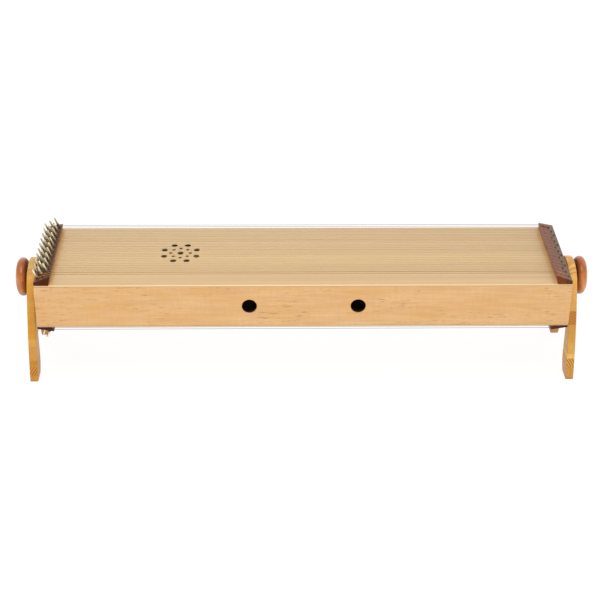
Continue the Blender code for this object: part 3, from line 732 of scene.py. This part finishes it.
def make_row_tree():
    """Geometry Nodes: stand copies of one pin in staggered rows on a slope."""
    tree = bpy.data.node_groups.new("pins in rows", "GeometryNodeTree")
    tree.interface.new_socket("Geometry", in_out="INPUT", socket_type="NodeSocketGeometry")
    fields = [
        ("Count", "NodeSocketInt"), ("Pitch", "NodeSocketFloat"), ("First Y", "NodeSocketFloat"),
        ("Rows", "NodeSocketFloat"), ("Edge Distance", "NodeSocketFloat"), ("Row Spacing", "NodeSocketFloat"),
        ("Edge X", "NodeSocketFloat"), ("Edge Z", "NodeSocketFloat"), ("Inward", "NodeSocketFloat"),
        ("Upward", "NodeSocketFloat"), ("Rise", "NodeSocketFloat"), ("Lean", "NodeSocketVector"),
        ("Seed", "NodeSocketInt"), ("Painted Shade", "NodeSocketFloat"), ("Shank Height", "NodeSocketFloat"),
        ("Material", "NodeSocketMaterial"),
    ]
    identifiers = tree_inputs(tree, fields)
    tree.interface.new_socket("Geometry", in_out="OUTPUT", socket_type="NodeSocketGeometry")
    given = add_node(tree, "NodeGroupInput").outputs
    line = add_node(tree, "GeometryNodeMeshLine", {"Count": given["Count"]}, mode="OFFSET").outputs["Mesh"]
    number = add_node(tree, "GeometryNodeInputIndex").outputs["Index"]
    turn = calculate(tree, "MODULO", number, given["Rows"])
    last = calculate(tree, "SUBTRACT", given["Rows"], 1.0)
    row = calculate(tree, "SUBTRACT", last, turn)
    distance = calculate(tree, "ADD", given["Edge Distance"], calculate(tree, "MULTIPLY", row, given["Row Spacing"]))
    x = calculate(tree, "ADD", given["Edge X"], calculate(tree, "MULTIPLY", distance, given["Inward"]))
    y = calculate(tree, "SUBTRACT", given["First Y"], calculate(tree, "MULTIPLY", number, given["Pitch"]))
    climb = calculate(tree, "MULTIPLY", calculate(tree, "MULTIPLY", distance, given["Rise"]), given["Upward"])
    z = calculate(tree, "ADD", given["Edge Z"], climb)
    place = add_node(tree, "ShaderNodeCombineXYZ", {"X": x, "Y": y, "Z": z}).outputs["Vector"]
    points = add_node(tree, "GeometryNodeSetPosition", {"Geometry": line, "Position": place}).outputs["Geometry"]
    # Painted shade on the shanks, below the heads, as a share of the painted-shade input.
    position = add_node(tree, "GeometryNodeInputPosition").outputs["Position"]
    height = add_node(tree, "ShaderNodeSeparateXYZ", {"Vector": position}).outputs["Z"]
    shank_top = calculate(tree, "ADD", given["Shank Height"], 0.002)
    low_painted_shade = calculate(tree, "MULTIPLY", given["Painted Shade"], 0.30)
    shank = spread(tree, height, given["Shank Height"], shank_top, low_painted_shade, 0.0)
    shank_values = {"Geometry": given["Geometry"], "Name": "shank", "Value": shank}
    single = add_node(tree, "GeometryNodeStoreNamedAttribute", shank_values, data_type="FLOAT", domain="POINT")
    stand = {"Points": points, "Instance": single.outputs["Geometry"], "Rotation": given["Lean"]}
    copies = add_node(tree, "GeometryNodeInstanceOnPoints", stand).outputs["Instances"]
    random_values = {2: 0.0, 3: math.pi / 2, "Seed": given["Seed"]}
    angle = add_node(tree, "FunctionNodeRandomValue", random_values, data_type="FLOAT").outputs[1]
    about_itself = add_node(tree, "ShaderNodeCombineXYZ", {"X": 0.0, "Y": 0.0, "Z": angle}).outputs["Vector"]
    rotate_values = {"Instances": copies, "Rotation": about_itself}
    rotated = add_node(tree, "GeometryNodeRotateInstances", rotate_values).outputs["Instances"]
    real = add_node(tree, "GeometryNodeRealizeInstances", {"Geometry": rotated}).outputs["Geometry"]
    # Painted shade on the faces that look towards -X, the outer side of the left pins, kept together with the shanks'
    # shade.
    facing = add_node(tree, "GeometryNodeInputNormal").outputs["Normal"]
    outward = add_node(tree, "ShaderNodeSeparateXYZ", {"Vector": facing}).outputs["X"]
    outer_side = spread(tree, outward, -0.60, -0.10, given["Painted Shade"], 0.0)
    shank_painted_shade = add_node(tree, "GeometryNodeInputNamedAttribute", {"Name": "shank"}, data_type="FLOAT").outputs[0]
    grime = calculate(tree, "MAXIMUM", outer_side, shank_painted_shade)
    marking = {"Geometry": real, "Name": "grime", "Value": grime}
    marked = add_node(tree, "GeometryNodeStoreNamedAttribute", marking, data_type="FLOAT", domain="FACE")
    setting = {"Geometry": marked.outputs["Geometry"], "Material": given["Material"]}
    result = add_node(tree, "GeometryNodeSetMaterial", setting)
    add_node(tree, "NodeGroupOutput", {"Geometry": result.outputs["Geometry"]})
    return tree, identifiers


def make_wire_tree():
    """Geometry Nodes: draw a round wire along every curve."""
    tree = bpy.data.node_groups.new("wire along curves", "GeometryNodeTree")
    tree.interface.new_socket("Geometry", in_out="INPUT", socket_type="NodeSocketGeometry")
    fields = [("Radius", "NodeSocketFloat"), ("Sides", "NodeSocketInt"), ("Material", "NodeSocketMaterial")]
    identifiers = tree_inputs(tree, fields)
    tree.interface.new_socket("Geometry", in_out="OUTPUT", socket_type="NodeSocketGeometry")
    given = add_node(tree, "NodeGroupInput").outputs
    circle_values = {"Resolution": given["Sides"], "Radius": given["Radius"]}
    circle = add_node(tree, "GeometryNodeCurvePrimitiveCircle", circle_values).outputs["Curve"]
    tube_values = {"Curve": given["Geometry"], "Profile Curve": circle, "Fill Caps": True}
    tube = add_node(tree, "GeometryNodeCurveToMesh", tube_values).outputs["Mesh"]
    smooth = add_node(tree, "GeometryNodeSetShadeSmooth", {"Geometry": tube}).outputs["Geometry"]
    real = add_node(tree, "GeometryNodeRealizeInstances", {"Geometry": smooth}).outputs["Geometry"]
    result = add_node(tree, "GeometryNodeSetMaterial", {"Geometry": real, "Material": given["Material"]})
    add_node(tree, "NodeGroupOutput", {"Geometry": result.outputs["Geometry"]})
    return tree, identifiers


ROW_TREE = make_row_tree()
WIRE_TREE = make_wire_tree()


def run_tree(item, tree_and_names, values):
    """Put an object through a node group and keep the mesh that comes out."""
    tree, identifiers = tree_and_names
    modifier = item.modifiers.new(tree.name, "NODES")
    modifier.node_group = tree
    for name, value in values.items():
        modifier[identifiers[name]] = value
    depsgraph = bpy.context.evaluated_depsgraph_get()
    mesh = bpy.data.meshes.new_from_object(item.evaluated_get(depsgraph))
    result = bpy.data.objects.new(item.name + " result", mesh)
    bpy.context.scene.collection.objects.link(result)
    name = item.name
    bpy.data.objects.remove(item, do_unlink=True)
    result.name = name
    mesh.name = name
    return result


def pin_ring(bm, height, reach, square, sides=24):
    """A ring round a pin: square 0 is a circle and 1 a square."""
    ring = []
    for i in range(sides):
        angle = math.tau * (i + 0.5) / sides
        c = math.cos(angle)
        s = math.sin(angle)
        flat = min(reach / max(abs(c), abs(s)), PIN_RADIUS)
        radius = flat * square + reach * (1 - square)
        ring.append(bm.verts.new((radius * c, radius * s, height)))
    return ring


def tuning_pin():
    """One tuning pin, upright: round shank, squared and tapered head with a softened tip."""
    steps = [
        (-PIN_ROOT, PIN_RADIUS, 0.0), (PIN_SHANK_HEIGHT - 0.0012, PIN_RADIUS, 0.0), (PIN_SHANK_HEIGHT, 0.00245, 0.12),
        (PIN_SHANK_HEIGHT + 0.0022, 0.00228, 0.85), (PIN_HEIGHT - 0.0007, PIN_HEAD_HALF_WIDTH, 1.0),
        (PIN_HEIGHT - 0.0002, 0.00188, 1.0), (PIN_HEIGHT, 0.00145, 0.9),
    ]
    bm = bmesh.new()
    bridge(bm, [pin_ring(bm, *step) for step in steps])
    return bm


def hitch_pin():
    """One hitch pin, upright: a round nail with a low domed head."""
    steps = [(-PIN_ROOT, 1.0), (HITCH_PIN_HEIGHT - 0.0005, 1.0), (HITCH_PIN_HEIGHT - 0.00015, 0.82), (HITCH_PIN_HEIGHT, 0.5)]
    bm = bmesh.new()
    bridge(bm, [pin_ring(bm, height, HITCH_PIN_RADIUS * share, 0.0, 16) for height, share in steps])
    return bm


def stand_pins(name, single, material, end, face, count, pitch, first_y, distance, spacing, lean=0.0):
    """Rows of pins on one wedge. The bottom ones hang upside down."""
    item = link_mesh(name, single)
    item.data.shade_smooth()
    item.data.set_sharp_from_angle(angle=math.radians(40))
    side = ENDS[end]
    up = FACES[face]
    tilt = side * (math.atan(WEDGE_RISE) + lean)
    values = {
        "Count": count, "Pitch": up * pitch, "First Y": up * first_y, "Rows": float(PIN_ROWS),
        "Edge Distance": distance, "Row Spacing": spacing, "Edge X": side * HALF_LENGTH,
        "Edge Z": AXIS_HEIGHT + up * (HALF_HEIGHT + WEDGE_OUTER_HEIGHT), "Inward": -float(side),
        "Upward": float(up), "Rise": WEDGE_RISE,
        # Painted shade on the tuning pins only.
        "Lean": (0.0, tilt if up > 0 else math.pi - tilt, 0.0), "Seed": 7, "Painted Shade": 0.88 if end == "left" else 0.0, "Shank Height": PIN_SHANK_HEIGHT,
        "Material": material,
    }
    item = run_tree(item, ROW_TREE, values)
    dress(item, material, "soundbox")


def coil_points(number, thickness):
    """A wire's winding on its tuning pin: from where the string arrives, round and up to the pin's eye."""
    distance = pin_distance(number)
    y = string_y(number) + PIN_SIDE_STEP
    base = slope_point("left", distance, y)
    along = (slope_point("left", distance, y, 1.0, PIN_LEAN) - base).normalized()
    inward = Vector((0, 1, 0)).cross(along).normalized()
    points = []
    per_turn = 16
    total = int(COIL_TURNS * per_turn)
    radius = PIN_RADIUS + thickness
    rise = max(COIL_RISE, 2.2 * thickness)
    for i in range(total + 1):
        share = i / per_turn
        angle = -math.pi / 2 - math.tau * share
        place = base + along * (COIL_HEIGHT + rise * share)
        points.append(place + radius * (math.cos(angle) * inward + math.sin(angle) * Vector((0, 1, 0))))
    points.append(base + along * (COIL_HEIGHT + rise * (COIL_TURNS + 0.15)))
    return points


def wire_route(face, wire, thickness):
    """Two strings from one wire: winding, ridge, ridge, hitch loop, ridge, ridge, winding."""
    height = BOARD_HIGH.z + WEDGE_RIDGE_HEIGHT + thickness + 0.00008
    halves = []
    for number in (2 * wire, 2 * wire + 1):
        y = string_y(number)
        half = coil_points(number, thickness)[::-1]
        for x in (-RIDGE_DISTANCE - 0.0004, -RIDGE_DISTANCE, RIDGE_DISTANCE, RIDGE_DISTANCE + 0.0004):
            half.append(Vector((x, y, height)))
        halves.append(half)
    middle = (string_y(2 * wire) + string_y(2 * wire + 1)) / 2
    loop = []
    radius = HITCH_PIN_RADIUS + thickness
    steps = 14
    for i in range(steps + 1):
        angle = math.pi * i / steps
        distance = hitch_distance(wire) - radius * math.sin(angle)
        loop.append(slope_point("right", distance, middle + radius * math.cos(angle), LOOP_HEIGHT))
    return [turned(face, place) for place in halves[0] + loop + halves[1][::-1]]


def make_strings(name, face, wires, thickness, material):
    curve = bpy.data.curves.new(name, "CURVE")
    curve.dimensions = "3D"
    for wire in wires:
        route = wire_route(face, wire, thickness)
        spline = curve.splines.new("POLY")
        spline.points.add(len(route) - 1)
        for point, place in zip(spline.points, route):
            point.co = (*place, 1.0)
    item = bpy.data.objects.new(name, curve)
    bpy.context.scene.collection.objects.link(item)
    item = run_tree(item, WIRE_TREE, {"Radius": thickness, "Sides": 8, "Material": material})
    nodes = [face + "_wire_" + str(wire + 1).zfill(2) for wire in wires]
    dress(item, material, "soundbox", nodes)


def curve_points(start, control, end, steps):
    points = []
    for i in range(1, steps + 1):
        t = i / steps
        weights = ((1 - t) ** 2, 2 * t * (1 - t), t ** 2)
        points.append(tuple(sum(w * p[k] for w, p in zip(weights, (start, control, end))) for k in (0, 1)))
    return points


def leg_outline():
    """The arched board's outline as (y, z) from the axis."""
    half = []
    head_steps = 18
    for i in range(head_steps + 1):
        angle = LEG_HEAD_ANGLE * i / head_steps
        half.append((LEG_HEAD_HALF_WIDTH * math.sin(angle), LEG_HEAD_HEIGHT * math.cos(angle)))
    foot = -AXIS_HEIGHT
    waist = (LEG_WAIST_HALF_WIDTH, -LEG_WAIST_DROP)
    half += curve_points(half[-1], waist, (LEG_FOOT_HALF_WIDTH, foot), 24)
    inner_foot = LEG_FOOT_HALF_WIDTH - LEG_FOOT_LENGTH
    half.append((inner_foot, foot))
    flare_top = (ARCH_RADIUS, -ARCH_FLARE_DROP)
    flare_control = (ARCH_RADIUS, -(ARCH_FLARE_DROP + AXIS_HEIGHT) / 2)
    half += curve_points((inner_foot, foot), flare_control, flare_top, 10)
    arch_steps = 24
    for i in range(arch_steps + 1):
        angle = math.pi / 2 * i / arch_steps
        half.append((ARCH_RADIUS * math.cos(angle), -ARCH_CENTRE_DROP + ARCH_RADIUS * math.sin(angle)))
    mirrored = [(-y, z) for y, z in reversed(half[1:-1])]
    return [(y, AXIS_HEIGHT + z) for y, z in half + mirrored]


def make_leg(end):
    node = end + "_leg"
    low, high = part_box(node)
    bm = prism_along_x(leg_outline(), low.x, high.x)
    cutter = bmesh.new()
    start = (low.x - 0.01, 0, AXIS_HEIGHT)
    add_rod(cutter, start, (high.x + 0.01, 0, AXIS_HEIGHT), BOLT_HOLE_RADIUS, 48)
    finish_solid(end + "_arch", bm, LEG_WOODS[end], node, (node,), LEG_EDGE_EASING, 4, cutter, 50)


def knob_profile():
    """Half section of the knob as (x, radius) from its boss on the washer, bore first."""
    bore = BOLT_HOLE_RADIUS
    inner_face = KNOB_BOSS_HEIGHT
    outer_face = KNOB_BOSS_HEIGHT + KNOB_THICKNESS - KNOB_DOME
    profile = [(KNOB_BORE_DEPTH, bore), (0.0005, bore), (0.0, bore + 0.0005), (0.0, KNOB_BOSS_RADIUS - 0.0008)]
    profile += [(0.0003, KNOB_BOSS_RADIUS - 0.0002), (0.001, KNOB_BOSS_RADIUS), (inner_face, KNOB_BOSS_RADIUS)]
    length, width = KNOB_INNER_ROUND
    steps = 16
    for i in range(steps + 1):
        angle = math.pi / 2 * i / steps
        x = inner_face + length * (1 - math.cos(angle))
        profile.append((x, KNOB_RADIUS - width * (1 - math.sin(angle))))
    length, width = KNOB_OUTER_ROUND
    for i in range(steps + 1):
        angle = math.pi / 2 * i / steps
        x = outer_face - length * (1 - math.sin(angle))
        profile.append((x, KNOB_RADIUS - width * (1 - math.cos(angle))))
    flat = KNOB_RADIUS - width
    for share in (0.85, 0.65, 0.45, 0.25, 0.08):
        profile.append((outer_face + KNOB_DOME * (1 - share ** 2), flat * share))
    return profile


def place_on_end(profile, end, start):
    """Move a profile's x out to a start, measured on the end's own side."""
    side = ENDS[end]
    return [(side * (start + x), radius) for x, radius in profile]


def make_knob(end):
    low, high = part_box(end + "_knob")
    start = min(abs(low.x), abs(high.x))
    item = link_mesh(end + "_grip", turned_about_axis(place_on_end(knob_profile(), end, start), 96))
    item.data.shade_smooth()
    item.data.set_sharp_from_angle(angle=math.radians(50))
    dress(item, KNOB_WOOD, end + "_knob", (end + "_knob",))


def make_bolt(end):
    """A threaded stud: its rings are shifted along a helix to cut the thread."""
    low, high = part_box(end + "_bolt")
    side = ENDS[end]
    start = min(abs(low.x), abs(high.x))
    stop = max(abs(low.x), abs(high.x))
    radius = (high.z - low.z) / 2
    sides = 24
    per_turn = 4
    chamfer = 0.001
    step = THREAD_PITCH / per_turn
    count = int((stop - start - 2 * chamfer) / step)
    rings = []
    bm = bmesh.new()
    tip = radius - THREAD_DEPTH
    for i in range(-1, count + 2):
        ring = []
        for k in range(sides):
            angle = math.tau * k / sides
            x = start + chamfer + i * step
            phase = (x / THREAD_PITCH + side * k / sides) % 1.0
            depth = THREAD_DEPTH * abs(2 * phase - 1)
            size = tip if i in (-1, count + 1) else radius - depth
            if i == -1:
                x = start
            if i == count + 1:
                x = stop
            ring.append(bm.verts.new((side * x, size * math.cos(angle), AXIS_HEIGHT + size * math.sin(angle))))
        rings.append(ring)
    bridge(bm, rings)
    item = link_mesh(end + "_stud", bm)
    item.data.shade_smooth()
    item.data.set_sharp_from_angle(angle=math.radians(60))
    dress(item, NICKEL, end + "_knob", (end + "_bolt",))


def make_disc(name, node, material, body, easing):
    """A flat ring in the place of a node, with its rims eased."""
    low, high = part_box(node)
    radius = (high.z - low.z) / 2
    bore = BOLT_HOLE_RADIUS
    rim = [(low.x, bore), (low.x, radius), (high.x, radius), (high.x, bore)]
    bm = turned_about_axis(rim, 72, closed=True)
    finish_solid(name, bm, material, body, (node,), easing, 2)


def dress_inner_pieces():
    """The pieces inside the box keep their solids and get bare wood; the inserts get brass."""
    for name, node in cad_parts.items():
        if name.endswith(("_lining", "_brace")):
            node.data.materials.clear()
            node.data.materials.append(INNER_WOOD)
        elif name.endswith("_end_block"):
            node.data.materials.clear()
            node.data.materials.append(END_GRAIN)
        elif name.endswith("_insert"):
            node.data.materials.clear()
            node.data.materials.append(BRASS)


def build_instrument():
    for face in FACES:
        make_board(face)
        for end in ENDS:
            make_wedge(end, face)
        stand_pins(face + "_pin_rows", tuning_pin(), NICKEL, "left", face, STRING_COUNT, STRING_PITCH,
                   string_y(0) + PIN_SIDE_STEP, PIN_EDGE_DISTANCE, PIN_ROW_SPACING, PIN_LEAN)
        stand_pins(face + "_hitch_rows", hitch_pin(), DARK_STEEL, "right", face, WIRE_COUNT, 2 * STRING_PITCH,
                   (string_y(0) + string_y(1)) / 2, HITCH_EDGE_DISTANCE, HITCH_ROW_SPACING)
        make_strings(face + "_bass_strings", face, [0], WOUND_STRING_RADIUS, BASS_WIRE)
        make_strings(face + "_steel_strings", face, range(1, WIRE_COUNT - 1), STRING_RADIUS, STEEL_WIRE)
        make_strings(face + "_bronze_strings", face, [WIRE_COUNT - 1], WOUND_STRING_RADIUS, BRONZE_WIRE)
    make_walls()
    for end in ENDS:
        make_leg(end)
        make_knob(end)
        make_bolt(end)
        make_disc(end + "_collar", end + "_spacer", SPACER_WOOD, "soundbox", 0.0008)
        make_disc(end + "_flat_washer", end + "_washer", NICKEL, end + "_washer", 0.0003)
    dress_inner_pieces()


def make_camera():
    forward = Vector((
        math.sin(CAMERA_YAW) * math.cos(CAMERA_PITCH),
        math.cos(CAMERA_YAW) * math.cos(CAMERA_PITCH),
        -math.sin(CAMERA_PITCH),
    ))
    level = Vector((math.cos(CAMERA_YAW), -math.sin(CAMERA_YAW), 0.0))
    upright = level.cross(forward)
    right = level * math.cos(CAMERA_ROLL) + upright * math.sin(CAMERA_ROLL)
    up = upright * math.cos(CAMERA_ROLL) - level * math.sin(CAMERA_ROLL)
    data = bpy.data.cameras.new("camera")
    data.lens = CAMERA_LENS
    data.sensor_width = 36.0
    data.sensor_fit = "HORIZONTAL"
    data.clip_end = 50.0
    camera = bpy.data.objects.new("camera", data)
    bpy.context.scene.collection.objects.link(camera)
    turn = Matrix((right, up, -forward)).transposed().to_4x4()
    camera.matrix_world = Matrix.Translation(CAMERA_PLACE) @ turn
    bpy.context.scene.camera = camera


def make_softbox(name, place, target, width, height, radiance):
    """A light with an even face of the given radiance."""
    data = bpy.data.lights.new(name, "AREA")
    data.shape = "RECTANGLE"
    data.size = width
    data.size_y = height
    data.energy = radiance * math.pi * width * height
    light = bpy.data.objects.new(name, data)
    bpy.context.scene.collection.objects.link(light)
    light.location = place
    light.rotation_euler = (Vector(target) - Vector(place)).to_track_quat("-Z", "Y").to_euler()


def make_studio():
    """A white table that glows a little, as on a light table, under a soft sky and two softboxes."""
    bm = bmesh.new()
    reach = 12.0
    corners = ((-reach, -reach), (reach, -reach), (reach, reach), (-reach, reach))
    bm.faces.new([bm.verts.new((x, y, -0.0005)) for x, y in corners])
    floor = link_mesh("floor", bm)
    material, tree, shader = new_material("pale floor", (0.14, 0.14, 0.14, 1.0), 0.9)
    shader.inputs["Specular IOR Level"].default_value = 0.0
    shader.inputs["Emission Color"].default_value = (1.0, 1.0, 1.0, 1.0)
    shader.inputs["Emission Strength"].default_value = 0.91
    floor.data.materials.append(material)
    world = bpy.data.worlds.new("studio")
    world.use_nodes = True
    tree = world.node_tree
    direction = add_node(tree, "ShaderNodeTexCoord").outputs["Generated"]
    towards = add_node(tree, "ShaderNodeSeparateXYZ", {"Vector": direction}).outputs
    sky = tree.nodes["Background"]
    sky.inputs["Color"].default_value = (1.0, 1.0, 1.0, 1.0)
    back_glow = spread(tree, towards["Y"], -1.0, 1.0, 0.34, 1.25)
    dark_left = spread(tree, towards["X"], -0.80, -0.35, 0.50, 1.0)
    tree.links.new(calculate(tree, "MULTIPLY", back_glow, dark_left), sky.inputs["Strength"])
    bpy.context.scene.world = world
    make_softbox("high softbox", (-0.3, -1.1, 2.9), (0, 0, 0.2), 1.5, 1.5, 5.0)
    make_softbox("front softbox", (0.1, -3.4, 1.05), (0, 0, 0.2), 0.5, 1.8, 4.7)
    bpy.context.scene.view_settings.view_transform = "Standard"


build_instrument()
make_camera()
make_studio()
